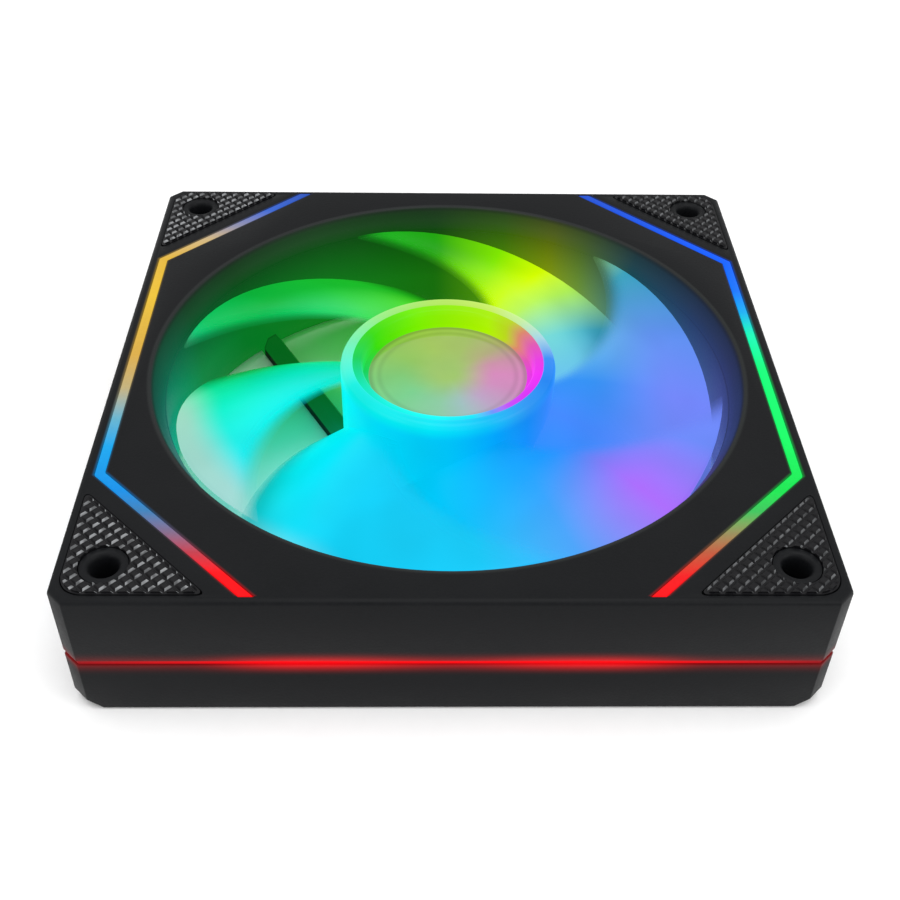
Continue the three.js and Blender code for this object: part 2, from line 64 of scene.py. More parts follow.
# ---- Sizes, millimetres ----

REAR_Z = heights("rear_frame")[0]
FRONT_Z = heights("front_cover")[1]
SEAM_LOW = heights("side_light_band")[0] - 0.2
SEAM_HIGH = heights("front_cover")[0]
DUCT_TOP = heights("rear_frame")[1]
PAD_TOP = heights("front_pad_back_right")[1]
HUB_LOW, HUB_TOP = heights("impeller")
MIRROR_LOW, MIRROR_TOP = heights("half_mirror")

HALF_SIDE = 60
CORNER_CHAMFER = 2.5
WALL = 1.6
PLATE = 2.4
FACE_ROUND = 0.85
HOLE_OFFSET = 52.5
HOLE_RADIUS = 2.2
COLLAR_RADIUS = 3.75
BOSS_RADIUS = 4.2
CORNERS = {
    "back_right": (1, 1),
    "back_left": (-1, 1),
    "front_left": (-1, -1),
    "front_right": (1, -1),
}

PAD_EDGE = 58.4
PAD_REACH = 36.5
PAD_CUT = 2.2
PAD_DEPTH = 0.8
KNURL_PITCH = 1.7
KNURL_RISE = 0.5
KNURL_FLANK = 0.34
KNURL_GROOVE = 0.06
KNURL_TILES = 19
KNURL_MIDDLE = 48.5

DUCT_RADIUS = 51.5
DUCT_WALL = 1.6
OPENING_RADIUS = 53.3
THROAT_RADIUS = 51.7
OUTLET_RADIUS = 52.9

STRIP_WIDTH = 1.5
STRIP_X = 57.2
STRIP_RUN = 32
STRIP_END = 58.7

HUB_RADIUS = 19.8
RIM_INNER = 17.6
RING_INNER = 15.7
BASE_RADIUS = 20.6
BASE_FLOOR = 2.6
BASE_WALL = 1.2
BASE_RIM_TOP = 4.4
LABEL_RECESS = 0.5
LABEL_RECESS_RADIUS = 18.3
STRUT_HEIGHT = 3.8
STRUT_WIDTH = 4.4
STRUT_DIRECTION = 119.5
STRUT_OFFSET = 15.2
STRUT_START = 6
STRUT_COUNT = 4
CABLE_STRUT = 1
CABLE_STRUT_WIDTH = 13.6
CABLE_STRUT_OFFSET = 10.7
WIRE_GROOVE_WIDTH = 8
WIRE_GROOVE_DEPTH = 1.6

BLADE_COUNT = 6
BLADE_TIP = 50.3
BLADE_ROOT = 18.9
BLADE_TOP = 21.8
BLADE_ROOT_TOP = 19.4
BLADE_LOW = 6.0
BLADE_THICKNESS = 1.7
BLADE_EDGE = 0.8
BLADE_CAMBER = 0.6
BLADE_FALL_POWER = 1.5
TIP_CHORD = 72
ROOT_CHORD = 66
TIP_LEAD_ANGLE = 172
FORWARD_SWEEP = 50
SWEEP_POWER = 1.05

DUCT_STEPS = 160
HUB_STEPS = 128


# ---- Modelling helpers ----


def flat_face(points, z):
    """A bmesh holding one face through the given [x, y] points."""
    bm = bmesh.new()
    bm.faces.new([bm.verts.new((x, y, z)) for x, y in points])
    return bm


def rounded(bm, geom, width, segments, affect="EDGES"):
    """Rounds the given edges or corners of a bmesh."""
    bmesh.ops.bevel(
        bm,
        geom=geom,
        offset=width,
        segments=segments,
        profile=0.5,
        affect=affect,
        material=-1,
        clamp_overlap=True,
    )


def extruded(bm, along):
    """Draws the open faces of a bmesh out into a closed block."""
    grown = bmesh.ops.extrude_face_region(bm, geom=bm.faces[:])
    far = [v for v in grown["geom"] if isinstance(v, bmesh.types.BMVert)]
    bmesh.ops.translate(bm, verts=far, vec=along)
    bmesh.ops.recalc_face_normals(bm, faces=bm.faces[:])
    return bm


def turned(bm, angle):
    """Turns a bmesh about the rotor axis."""
    turn = Matrix.Rotation(angle, 3, "Z")
    bmesh.ops.rotate(bm, cent=(0, 0, 0), matrix=turn, verts=bm.verts[:])
    return bm


def moved(bm, x=0.0, y=0.0, z=0.0):
    bmesh.ops.translate(bm, verts=bm.verts[:], vec=(x, y, z))
    return bm


def prism(points, low, high, corner=0.0, steps=5):
    """The outline extruded between two heights, its corners rounded in plan."""
    bm = flat_face(points, low)
    if corner:
        rounded(bm, bm.verts[:], corner, steps, "VERTICES")
    return extruded(bm, (0, 0, high - low))


def spun(profile, steps, closed=True):
    """The [radius, z] profile turned about the Z axis."""
    bm = bmesh.new()
    verts = [bm.verts.new((radius, 0, z)) for radius, z in profile]
    pairs = list(zip(verts, verts[1:]))
    if closed:
        pairs.append((verts[-1], verts[0]))
    edges = [bm.edges.new(pair) for pair in pairs]
    bmesh.ops.spin(
        bm,
        geom=verts + edges,
        cent=(0, 0, 0),
        axis=(0, 0, 1),
        angle=2 * math.pi,
        steps=steps,
        use_merge=True,
    )
    bmesh.ops.remove_doubles(bm, verts=bm.verts[:], dist=1e-4)
    bmesh.ops.recalc_face_normals(bm, faces=bm.faces[:])
    return bm


def drum(radius, low, high, x=0.0, y=0.0, steps=48):
    """A round bar standing at x, y."""
    bm = bmesh.new()
    bmesh.ops.create_circle(bm, cap_ends=True, radius=radius, segments=steps)
    return moved(extruded(bm, (0, 0, high - low)), x, y, low)


def gather(parts):
    """All parts in one bmesh, as separate shells."""
    whole = bmesh.new()
    for part in parts:
        mesh = bpy.data.meshes.new("part")
        part.to_mesh(mesh)
        part.free()
        whole.from_mesh(mesh)
        bpy.data.meshes.remove(mesh)
    return whole


def loose_object(bm, name):
    mesh = bpy.data.meshes.new(name)
    bm.to_mesh(mesh)
    bm.free()
    item = bpy.data.objects.new(name, mesh)
    bpy.context.scene.collection.objects.link(item)
    return item


def combine(base, tool, operation):
    """Boolean of two bmeshes; both are used up."""
    base_object = loose_object(base, "base")
    tool_object = loose_object(tool, "tool")
    modifier = base_object.modifiers.new("combine", "BOOLEAN")
    modifier.object = tool_object
    modifier.operation = operation
    modifier.solver = "EXACT"
    modifier.use_self = True
    depsgraph = bpy.context.evaluated_depsgraph_get()
    evaluated = base_object.evaluated_get(depsgraph)
    result = bmesh.new()
    result.from_mesh(evaluated.to_mesh())
    evaluated.to_mesh_clear()
    for item in (base_object, tool_object):
        mesh = item.data
        bpy.data.objects.remove(item)
        bpy.data.meshes.remove(mesh)
    bmesh.ops.remove_doubles(result, verts=result.verts[:], dist=1e-4)
    return result


def soften(bm, width, limit=32, segments=2, clear=0.0):
    """Rounds every edge sharper than the limit, in degrees, outside the clear radius."""
    bmesh.ops.dissolve_limit(
        bm,
        angle_limit=math.radians(0.4),
        verts=bm.verts[:],
        edges=bm.edges[:],
    )
    sharp = [
        e for e in bm.edges
        if e.is_manifold
        and e.calc_face_angle(0) > math.radians(limit)
        and max(v.co.xy.length for v in e.verts) > clear
    ]
    rounded(bm, sharp, width, segments)
    return bm


def finish_piece(name, bm, materials, body, hides, smooth=32):
    """Scales a bmesh to metres and hands it over as a piece of the object."""
    bmesh.ops.scale(bm, vec=(MM, MM, MM), verts=bm.verts[:])
    mesh = bpy.data.meshes.new(name)
    bm.to_mesh(mesh)
    bm.free()
    for material in materials:
        mesh.materials.append(material)
    mesh.polygons.foreach_set("use_smooth", [True] * len(mesh.polygons))
    mesh.set_sharp_from_angle(angle=math.radians(smooth))
    piece = bpy.data.objects.new(name, mesh)
    bpy.context.scene.collection.objects.link(piece)
    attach(piece, body)
    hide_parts(*hides)
    return piece


# ---- Outlines ----


def frame_outline(inset):
    """A square with its corners cut at 45 degrees, moved in by the inset."""
    half = HALF_SIDE - inset
    cut = CORNER_CHAMFER - inset * (2 - math.sqrt(2))
    quarter = [(half - cut, -half), (half, -half + cut), (half, half - cut), (half - cut, half)]
    return quarter + [(-x, -y) for x, y in quarter]


def pad_outline(grow, sign_x, sign_y):
    edge = PAD_EDGE + grow
    reach = PAD_REACH - grow * (1 + math.sqrt(2))
    corners = [(edge, reach), (edge, edge - PAD_CUT), (edge - PAD_CUT, edge), (reach, edge)]
    return [(sign_x * x, sign_y * y) for x, y in corners]


def strip_outline(side, half_width, end_grow):
    end = STRIP_END + end_grow
    slant = math.sqrt(2) - 1

    def corner(s, up):
        return side * (STRIP_X + s * half_width), up * (STRIP_RUN + s * half_width * slant)

    def tip(s, up):
        x = STRIP_X + STRIP_RUN - end + s * half_width * math.sqrt(2)
        return side * x, up * end

    inner = [tip(-1, 1), corner(-1, 1), corner(-1, -1), tip(-1, -1)]
    outer = [tip(1, -1), corner(1, -1), corner(1, 1), tip(1, 1)]
    return inner + outer


# ---- Material helpers ----


def srgb(red, green, blue):
    """An 8 bit screen colour as a linear one with full alpha."""
    linear = []
    for value in (red, green, blue):
        share = value / 255
        linear.append(share / 12.92 if share <= 0.04045 else ((share + 0.055) / 1.055) ** 2.4)
    return (*linear, 1.0)


BLACK = (0.0, 0.0, 0.0, 1.0)


def new_group(name, inputs, outputs):
    group = bpy.data.node_groups.new(name, "ShaderNodeTree")
    for label, kind, value in inputs:
        socket = group.interface.new_socket(label, in_out="INPUT", socket_type=kind)
        if value is not None:
            socket.default_value = value
    for label, kind in outputs:
        group.interface.new_socket(label, in_out="OUTPUT", socket_type=kind)
    return group, group.nodes.new("NodeGroupInput"), group.nodes.new("NodeGroupOutput")


def math_node(tree, operation, first, second=None, clamp=False):
    node = tree.nodes.new("ShaderNodeMath")
    node.operation = operation
    node.use_clamp = clamp
    for socket, value in zip(node.inputs, (first, second)):
        if value is None:
            continue
        if isinstance(value, (int, float)):
            socket.default_value = value
        else:
            tree.links.new(value, socket)
    return node.outputs[0]


def product(tree, *values):
    """All the values multiplied together."""
    result = values[0]
    for value in values[1:]:
        result = math_node(tree, "MULTIPLY", result, value)
    return result


def map_range(tree, value, low, high, to_low=0.0, to_high=1.0, smooth=False):
    node = tree.nodes.new("ShaderNodeMapRange")
    if smooth:
        node.interpolation_type = "SMOOTHSTEP"
    tree.links.new(value, node.inputs["Value"])
    limits = {"From Min": low, "From Max": high, "To Min": to_low, "To Max": to_high}
    for label, number in limits.items():
        node.inputs[label].default_value = number
    return node.outputs["Result"]


def split(tree, vector):
    """The outputs X, Y and Z of a vector."""
    node = tree.nodes.new("ShaderNodeSeparateXYZ")
    tree.links.new(vector, node.inputs[0])
    return node.outputs


def mix_colour(tree, factor, first, second, blend="MIX"):
    node = tree.nodes.new("ShaderNodeMix")
    node.data_type = "RGBA"
    node.blend_type = blend
    for index, value in ((0, factor), (6, first), (7, second)):
        if isinstance(value, (int, float, tuple)):
            node.inputs[index].default_value = value
        else:
            tree.links.new(value, node.inputs[index])
    return node.outputs[2]


def dimmed(tree, amount, colour):
    """A colour faded towards black; the amount is the share that is kept."""
    return mix_colour(tree, amount, BLACK, colour)


def ramp(tree, factor, stops):
    """A colour ramp through (position, colour) stops."""
    node = tree.nodes.new("ShaderNodeValToRGB")
    elements = node.color_ramp.elements
    elements[0].position, elements[0].color = stops[0]
    elements[1].position, elements[1].color = stops[-1]
    for position, colour in stops[1:-1]:
        elements.new(position).color = colour
    tree.links.new(factor, node.inputs[0])
    return node.outputs[0]


def noise(tree, vector, scale, detail=2.0, roughness=0.5):
    node = tree.nodes.new("ShaderNodeTexNoise")
    node.inputs["Scale"].default_value = scale
    node.inputs["Detail"].default_value = detail
    node.inputs["Roughness"].default_value = roughness
    tree.links.new(vector, node.inputs["Vector"])
    return node.outputs["Fac"]


def grain_group():
    """Fine moulded grain with slow mottling: a height, and a mask for tone and gloss."""
    inputs = [("Vector", "NodeSocketVector", None), ("Grain", "NodeSocketFloat", 2500.0)]
    outputs = [("Height", "NodeSocketFloat"), ("Mottle", "NodeSocketFloat")]
    group, source, result = new_group("fine grain", inputs, outputs)
    fine = group.nodes.new("ShaderNodeTexNoise")
    fine.inputs["Detail"].default_value = 3.0
    group.links.new(source.outputs["Vector"], fine.inputs["Vector"])
    group.links.new(source.outputs["Grain"], fine.inputs["Scale"])
    broad = noise(group, source.outputs["Vector"], 60, 4.0, 0.6)
    group.links.new(fine.outputs["Fac"], result.inputs["Height"])
    slow = math_node(group, "MULTIPLY", broad, 0.6)
    quick = math_node(group, "MULTIPLY", fine.outputs["Fac"], 0.4)
    mottle = math_node(group, "ADD", slow, quick)
    group.links.new(mottle, result.inputs["Mottle"])
    return group


def angle_group(name, stops):
    """A colour for each direction round the rotor axis, in degrees from +X."""
    inputs = [("Vector", "NodeSocketVector", None)]
    group, source, result = new_group(name, inputs, [("Colour", "NodeSocketColor")])
    parts = split(group, source.outputs["Vector"])
    angle = math_node(group, "ARCTAN2", parts["Y"], parts["X"])
    turn = map_range(group, angle, -math.pi, math.pi)
    placed = sorted((((degrees + 180) % 360) / 360, colour) for degrees, colour in stops)
    seam = stops_seam(placed)
    colour = ramp(group, turn, [(0.0, seam)] + placed + [(1.0, seam)])
    group.links.new(colour, result.inputs["Colour"])
    return group


def stops_seam(placed):
    """The colour where a ring of stops closes on itself."""
    first, last = placed[0], placed[-1]
    gap = first[0] + 1 - last[0]
    share = (1 - last[0]) / gap if gap else 0.5
    return tuple(a + (b - a) * share for a, b in zip(last[1], first[1]))


GRAIN = grain_group()

BLADE_INNER = angle_group("blade glow near the hub", [
    (0, srgb(50, 150, 253)), (20, srgb(110, 200, 254)), (42, srgb(120, 225, 225)),
    (58, srgb(190, 250, 90)), (68, srgb(205, 255, 5)), (82, srgb(150, 240, 5)), (100, srgb(90, 225, 40)),
    (125, srgb(70, 230, 90)), (150, srgb(4, 235, 150)), (175, srgb(0, 240, 210)),
    (200, srgb(0, 250, 254)), (235, srgb(0, 220, 253)), (270, srgb(0, 200, 254)),
    (295, srgb(2, 165, 254)), (315, srgb(20, 145, 254)), (340, srgb(60, 135, 254)),
])
BLADE_OUTER = angle_group("blade glow near the tip", [
    (0, srgb(115, 135, 250)), (20, srgb(95, 145, 240)), (42, srgb(60, 170, 200)),
    (56, srgb(175, 240, 90)), (64, srgb(215, 255, 0)), (76, srgb(130, 235, 0)), (92, srgb(35, 170, 15)),
    (120, srgb(25, 190, 45)), (145, srgb(8, 185, 60)), (162, srgb(10, 200, 100)),
    (180, srgb(15, 240, 180)), (200, srgb(5, 245, 225)), (222, srgb(20, 228, 245)),
    (245, srgb(0, 212, 250)), (275, srgb(10, 205, 252)), (298, srgb(70, 165, 252)),
    (318, srgb(172, 105, 252)), (336, srgb(110, 140, 253)),
])
HUB_RIM = angle_group("hub rim glow", [
    (0, srgb(60, 150, 254)), (20, srgb(175, 225, 240)), (40, srgb(205, 245, 165)),
    (62, srgb(208, 245, 105)), (100, srgb(185, 240, 105)), (135, srgb(160, 245, 140)),
    (160, srgb(130, 250, 180)), (182, srgb(100, 252, 215)), (205, srgb(10, 245, 230)),
    (260, srgb(0, 240, 254)), (290, srgb(10, 200, 254)), (315, srgb(50, 160, 254)),
    (340, srgb(30, 140, 254)),
])
HUB_RING = angle_group("hub ring glow", [
    (0, srgb(240, 60, 235)), (16, srgb(235, 90, 190)), (31, srgb(225, 140, 110)),
    (44, srgb(190, 220, 30)), (60, srgb(175, 245, 0)), (90, srgb(150, 245, 0)),
    (120, srgb(110, 240, 0)), (150, srgb(60, 225, 15)), (178, srgb(20, 215, 90)),
    (200, srgb(0, 235, 170)), (225, srgb(0, 245, 225)), (262, srgb(0, 255, 255)),
    (284, srgb(0, 235, 255)), (297, srgb(110, 150, 255)), (308, srgb(200, 80, 255)),
    (322, srgb(225, 50, 255)), (345, srgb(250, 45, 255)),
])
MIRROR_RIM = angle_group("mirror glow near its rim", [
    (0, srgb(216, 130, 188)), (20, srgb(205, 138, 168)), (40, srgb(180, 172, 120)),
    (70, srgb(165, 196, 90)), (110, srgb(160, 200, 76)), (150, srgb(142, 202, 80)),
    (185, srgb(120, 205, 110)), (220, srgb(115, 212, 140)), (260, srgb(138, 208, 165)),
    (285, srgb(160, 196, 196)), (310, srgb(190, 162, 200)), (340, srgb(212, 136, 192)),
])


# Colour along each side of the frame, from the front (0) to the back (1)
LEFT_LIGHTS = [
    (0.0, srgb(255, 0, 12)), (0.05, srgb(250, 10, 20)), (0.085, srgb(190, 60, 75)),
    (0.12, srgb(130, 105, 135)), (0.16, srgb(60, 125, 180)), (0.2, srgb(10, 140, 225)),
    (0.29, srgb(20, 165, 235)), (0.35, srgb(100, 175, 200)), (0.42, srgb(190, 172, 120)),
    (0.5, srgb(215, 170, 72)), (0.66, srgb(232, 190, 55)), (0.77, srgb(222, 178, 60)),
    (0.83, srgb(205, 178, 125)), (0.875, srgb(140, 140, 165)), (0.93, srgb(50, 98, 205)),
    (1.0, srgb(30, 75, 180)),
]
RIGHT_LIGHTS = [
    (0.0, srgb(255, 0, 12)), (0.045, srgb(240, 25, 30)), (0.085, srgb(190, 90, 60)),
    (0.12, srgb(150, 140, 90)), (0.16, srgb(60, 190, 90)), (0.2, srgb(20, 225, 80)),
    (0.3, srgb(15, 245, 100)), (0.47, srgb(0, 252, 120)), (0.56, srgb(10, 240, 180)),
    (0.62, srgb(10, 170, 235)), (0.68, srgb(10, 115, 255)), (0.78, srgb(0, 92, 255)),
    (1.0, srgb(20, 75, 200)),
]


def edge_light_group():
    """The lights laid along the frame: a colour for each place on either side."""
    inputs = [("Vector", "NodeSocketVector", None)]
    outputs = [("Colour", "NodeSocketColor")]
    group, source, result = new_group("edge light", inputs, outputs)
    parts = split(group, source.outputs["Vector"])
    along = map_range(group, parts["Y"], -HALF_SIDE * MM, HALF_SIDE * MM)
    left = ramp(group, along, LEFT_LIGHTS)
    right = ramp(group, along, RIGHT_LIGHTS)
    side = map_range(group, parts["X"], -0.001, 0.001)
    group.links.new(mix_colour(group, side, left, right), result.inputs["Colour"])
    return group


EDGE_LIGHT = edge_light_group()


def start_material(name):
    """A new material with its Principled shader and object coordinates."""
    material = bpy.data.materials.new(name)
    material.use_nodes = True
    tree = material.node_tree
    shader = tree.nodes["Principled BSDF"]
    place = tree.nodes.new("ShaderNodeTexCoord").outputs["Object"]
    return material, tree, shader, place


def use_group(tree, group, place):
    node = tree.nodes.new("ShaderNodeGroup")
    node.node_tree = group
    tree.links.new(place, node.inputs["Vector"])
    return node


def use_grain(tree, place, scale=2500.0):
    node = use_group(tree, GRAIN, place)
    node.inputs["Grain"].default_value = scale
    return node


def mottled(tree, grain, low=0.0, high=1.0):
    """A value that wanders between two others with the mottling of the grain."""
    return map_range(tree, grain.outputs["Mottle"], 0.35, 0.65, low, high)


def clouded(tree, place, scale, low):
    """A soft patchiness, from the low value up to 1."""
    return map_range(tree, noise(tree, place, scale, 2.0), 0.35, 0.65, low, 1.0)


def add_grain(tree, shader, place, tones, gloss, depth, scale):
    """Colour mottling, uneven gloss and a fine bump; returns the mottled colour."""
    grain = use_grain(tree, place, scale)
    colour = mix_colour(tree, mottled(tree, grain), *tones)
    tree.links.new(colour, shader.inputs["Base Color"])
    tree.links.new(mottled(tree, grain, *gloss), shader.inputs["Roughness"])
    bump = tree.nodes.new("ShaderNodeBump")
    bump.inputs["Strength"].default_value = 1.0
    bump.inputs["Distance"].default_value = depth * MM
    tree.links.new(grain.outputs["Height"], bump.inputs["Height"])
    tree.links.new(bump.outputs["Normal"], shader.inputs["Normal"])
    return colour


def glow_from(tree, shader, colour, strength, specular):
    """Light given off by the surface, which reflects little."""
    tree.links.new(colour, shader.inputs["Emission Color"])
    shader.inputs["Emission Strength"].default_value = strength
    shader.inputs["Specular IOR Level"].default_value = specular


def glossy_base(tree, shader, place, field, tint, gloss, scale=2500.0):
    """A dark base of the glow's own hue, with an uneven gloss."""
    base = mix_colour(tree, 1.0, field, (tint, tint, tint, 1), "MULTIPLY")
    tree.links.new(base, shader.inputs["Base Color"])
    grain = use_grain(tree, place, scale)
    tree.links.new(mottled(tree, grain, *gloss), shader.inputs["Roughness"])


def grained(name, dark, light, gloss, depth, scale, metallic):
    """A plain finish whose tone and gloss wander a little."""
    material, tree, shader, place = start_material(name)
    add_grain(tree, shader, place, ((*dark, 1), (*light, 1)), gloss, depth, scale)
    shader.inputs["Metallic"].default_value = metallic
    return material


def radius_of(tree, place):
    """The distance from the rotor axis, and the three coordinates."""
    parts = split(tree, place)
    across = math_node(tree, "MULTIPLY", parts["X"], parts["X"])
    along = math_node(tree, "MULTIPLY", parts["Y"], parts["Y"])
    return math_node(tree, "SQRT", math_node(tree, "ADD", across, along)), parts


def reaches(tree, parts):
    """The distances from the middle planes, across and along."""
    return [math_node(tree, "ABSOLUTE", parts[axis]) for axis in ("X", "Y")]


def lamp_lobes(tree, along):
    """Brightness along a side of the seam: two lamps a third of the way out."""
    rising = map_range(tree, along, 0.0, 0.021, 0.4, 0.9, smooth=True)
    falling = map_range(tree, along, 0.023, 0.041, 1.0, 0.2, smooth=True)
    return product(tree, rising, falling)


def seam_spill(tree, place, parts):
    """The seam's light on the outer walls above and below it."""
    seam = (SEAM_LOW + SEAM_HIGH) / 2 * MM
    away = math_node(tree, "ABSOLUTE", math_node(tree, "SUBTRACT", parts["Z"], seam))
    near = math_node(tree, "POWER", map_range(tree, away, 0.0004, 0.0034, 1.0, 0.0), 3.2)
    across, along = reaches(tree, parts)
    reach = math_node(tree, "MAXIMUM", across, along)
    outer = math_node(tree, "GREATER_THAN", reach, (HALF_SIDE - 2.2) * MM)
    lobes = lamp_lobes(tree, math_node(tree, "MINIMUM", across, along))
    light = use_group(tree, EDGE_LIGHT, place).outputs["Colour"]
    return dimmed(tree, product(tree, near, outer, lobes), light)


def strip_spill(tree, place, parts):
    """Light from the inlaid strips on the plate right beside them."""
    across, along = reaches(tree, parts)
    run = math_node(tree, "SUBTRACT", across, STRIP_X * MM)
    total = math_node(tree, "ADD", across, along)
    past_bend = math_node(tree, "SUBTRACT", total, (STRIP_X + STRIP_RUN) * MM)
    slant = math_node(tree, "MULTIPLY", past_bend, math.sqrt(0.5))
    away = math_node(tree, "ABSOLUTE", math_node(tree, "MAXIMUM", run, slant))
    near = map_range(tree, away, 0.0007, 0.0013, 0.3, 0.0, smooth=True)
    face = math_node(tree, "GREATER_THAN", parts["Z"], (FRONT_Z - 0.4) * MM)
    ends = math_node(tree, "LESS_THAN", along, STRIP_END * MM)
    light = use_group(tree, EDGE_LIGHT, place).outputs["Colour"]
    return dimmed(tree, product(tree, near, face, ends), light)


def duct_spill(tree, place, radius, parts):
    """The impeller's light on the duct, the funnel and the struts."""
    height = parts["Z"]
    wall = map_range(tree, radius, (DUCT_RADIUS - 0.5) * MM, (DUCT_RADIUS - 0.3) * MM)
    lip = (OPENING_RADIUS - 0.2) * MM, (OPENING_RADIUS + 0.4) * MM
    inside = map_range(tree, radius, *lip, 1.0, 0.0)
    depth = map_range(tree, height, 0.009, 0.0254, 0.36, 0.05)
    strut_part = map_range(tree, radius, (DUCT_RADIUS - 0.6) * MM, (DUCT_RADIUS - 0.5) * MM, 0.24, 0.0)
    upper = math_node(tree, "GREATER_THAN", height, (REAR_Z + WIRE_GROOVE_DEPTH + 0.1) * MM)
    amount = math_node(tree, "ADD", product(tree, wall, inside, depth), product(tree, strut_part, upper))
    return dimmed(tree, amount, use_group(tree, BLADE_OUTER, place).outputs["Colour"])


def lip_highlight_mask(tree, radius, parts):
    """The rounded lip of the funnel, where a painted highlight makes the plate's colour lighter."""
    start = map_range(tree, radius, OPENING_RADIUS * MM, (OPENING_RADIUS + 0.4) * MM, smooth=True)
    far = (OPENING_RADIUS + 0.6) * MM, (OPENING_RADIUS + 1.2) * MM
    end = map_range(tree, radius, *far, 1.0, 0.0, smooth=True)
    high = math_node(tree, "GREATER_THAN", parts["Z"], (FRONT_Z - 0.8) * MM)
    return product(tree, start, end, high)


def shell_material():
    """Satin black moulding, with light spilling on to it from the lights around it and a painted
    highlight on the funnel's lip.
    """
    material, tree, shader, place = start_material("shell_plastic")
    tones = (0.0035, 0.004, 0.0048, 1), (0.006, 0.0065, 0.0075, 1)
    # Painted highlight: the funnel's lip is given a lighter colour than the plate.
    painted_lip_highlight = (0.016, 0.018, 0.018, 1)
    plain = add_grain(tree, shader, place, tones, (0.42, 0.56), 0.025, 2200.0)
    radius, parts = radius_of(tree, place)
    lip_highlighted = mix_colour(tree, lip_highlight_mask(tree, radius, parts), plain, painted_lip_highlight)
    tree.links.new(lip_highlighted, shader.inputs["Base Color"])
    seam, strips = seam_spill(tree, place, parts), strip_spill(tree, place, parts)
    outside = mix_colour(tree, 1.0, seam, strips, "ADD")
    glow = mix_colour(tree, 1.0, outside, duct_spill(tree, place, radius, parts), "ADD")
    glow_from(tree, shader, glow, 1.0, 0.11)
    return material


def rubber_material():
    """Black rubber; a painted highlight lightens the flanks of the knurl that face front right, less so
    towards the right of the frame.
    """
    material, tree, shader, place = start_material("pad_rubber")
    tones = (0.003, 0.003, 0.004, 1), (0.007, 0.007, 0.008, 1)
    # Painted highlight colour for the knurl's flanks.
    painted_glint_colour = (0.3, 0.31, 0.32, 1)
    plain = add_grain(tree, shader, place, tones, (0.35, 0.5), 0.02, 1500.0)
    shader.inputs["Specular IOR Level"].default_value = 0.18
    normal = tree.nodes.new("ShaderNodeTexCoord").outputs["Normal"]
    facing = tree.nodes.new("ShaderNodeVectorMath")
    facing.operation = "DOT_PRODUCT"
    facing.inputs[1].default_value = (math.sqrt(0.5), -math.sqrt(0.5), 0)
    tree.links.new(normal, facing.inputs[0])
    turned_to = map_range(tree, facing.outputs["Value"], 0.5, 0.75)
    heading = split(tree, normal)
    position = split(tree, place)
    sloped = map_range(tree, math_node(tree, "ABSOLUTE", heading["Z"]), 0.1, 0.3)
    patchy = map_range(tree, noise(tree, place, 700, 1.0), 0.4, 0.6, 0.35, 1.0)
    # The painted highlight is weaker towards the right of the frame.
    glint_fade_right = map_range(tree, position["X"], -0.03, 0.03, 1.0, 0.45)
    sheen = product(tree, turned_to, sloped, patchy, glint_fade_right)
    tree.links.new(mix_colour(tree, sheen, plain, painted_glint_colour), shader.inputs["Base Color"])
    return material


def edge_glow_material(name, strength):
    """A frosted light guide, lit along its length by the frame's lights."""
    material, tree, shader, place = start_material(name)
    colour = use_group(tree, EDGE_LIGHT, place).outputs["Colour"]
    tones = (0.002, 0.002, 0.002, 1), (0.004, 0.004, 0.004, 1)
    add_grain(tree, shader, place, tones, (0.4, 0.55), 0.01, 1800.0)
    grain = use_grain(tree, place, 1800.0)
    uneven = map_range(tree, grain.outputs["Mottle"], 0.3, 0.7, 0.88, 1.0)
    glow_from(tree, shader, dimmed(tree, uneven, colour), strength, 0.06)
    return material


def side_glow_material():
    """The seam's light guide: full in the middle of each side and dim at the corners."""
    material, tree, shader, place = start_material("side_glow")
    colour = use_group(tree, EDGE_LIGHT, place).outputs["Colour"]
    tones = (0.004, 0.002, 0.002, 1), (0.006, 0.002, 0.002, 1)
    unlit = (0.03, 0.012, 0.016, 1)
    add_grain(tree, shader, place, tones, (0.4, 0.55), 0.01, 1800.0)
    along = math_node(tree, "MINIMUM", *reaches(tree, split(tree, place)))
    bright = map_range(tree, along, 0.03, 0.058, 1.0, 0.3)
    glow_from(tree, shader, mix_colour(tree, bright, unlit, colour), 1.0, 0.06)
    return material


def blade_field(tree, place):
    """The colour of the light in the blades, paler on the left front rim."""
    inner = use_group(tree, BLADE_INNER, place).outputs["Colour"]
    outer = use_group(tree, BLADE_OUTER, place).outputs["Colour"]
    radius, position = radius_of(tree, place)
    outward = map_range(tree, radius, 0.026, 0.044, smooth=True)
    slanted = math_node(tree, "MULTIPLY", position["Y"], 0.57)
    left_front = math_node(tree, "ADD", position["X"], slanted)
    left = map_range(tree, left_front, -0.053, -0.041, 0.75, 0.0, smooth=True)
    rim = map_range(tree, radius, 0.041, 0.049, smooth=True)
    field = mix_colour(tree, outward, inner, outer)
    return mix_colour(tree, product(tree, rim, left), field, srgb(185, 215, 200))


def blade_material():
    """Milky plastic lit from the hub, thin and clear along its two long edges."""
    material, tree, shader, place = start_material("blade_plastic")
    field = blade_field(tree, place)
    chart = tree.nodes.new("ShaderNodeUVMap")
    chart.uv_map = "blade"
    back = split(tree, chart.outputs[0])["Y"]
    fade = map_range(tree, back, 0.7, 1.0, 1.0, 0.6, smooth=True)
    glow = dimmed(tree, product(tree, fade, clouded(tree, place, 45, 0.86)), field)
    glow_from(tree, shader, glow, 1.0, 0.08)
    glossy_base(tree, shader, place, field, 0.015, (0.3, 0.42), 900.0)
    leading = map_range(tree, back, 0.0, 0.14, 0.05, 0.96, smooth=True)
    trailing = map_range(tree, back, 0.9, 1.0, 0.96, 0.25, smooth=True)
    tree.links.new(math_node(tree, "MINIMUM", leading, trailing), shader.inputs["Alpha"])
    return material


